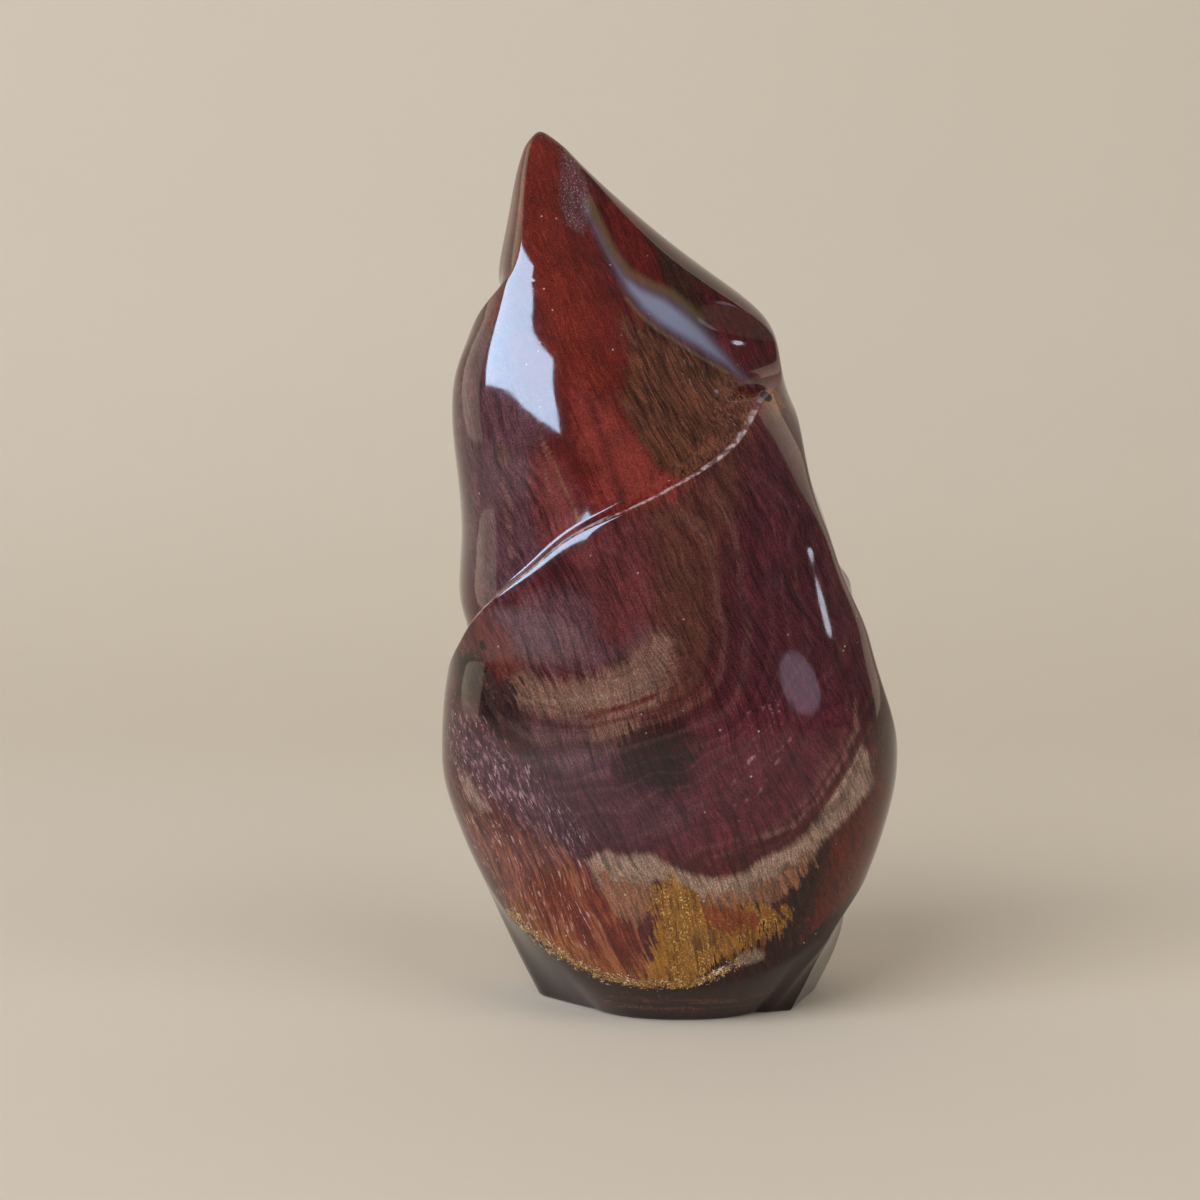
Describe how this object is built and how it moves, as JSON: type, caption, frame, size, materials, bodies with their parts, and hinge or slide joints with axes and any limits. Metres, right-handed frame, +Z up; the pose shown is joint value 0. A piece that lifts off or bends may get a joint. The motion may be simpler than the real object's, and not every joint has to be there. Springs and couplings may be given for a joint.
{
  "type": "carved stone flame ornament",
  "caption": "Free-standing polished petrified wood carving shaped as a flame: wraps twist up a swollen body to a bent pointed tip, on an undercut flat foot.",
  "frame": {"origin": "middle of the outline at the level that the flame stands on", "axes": "+Z up through the flame, +X to the right and -Y to the front of the view"},
  "size_m": [0.079, 0.0589, 0.15],
  "materials": {
    "petrified_wood": "polished"
  },
  "bodies": {
    "root": {"flame_carving": "petrified_wood"}
  },
  "joints": []
}
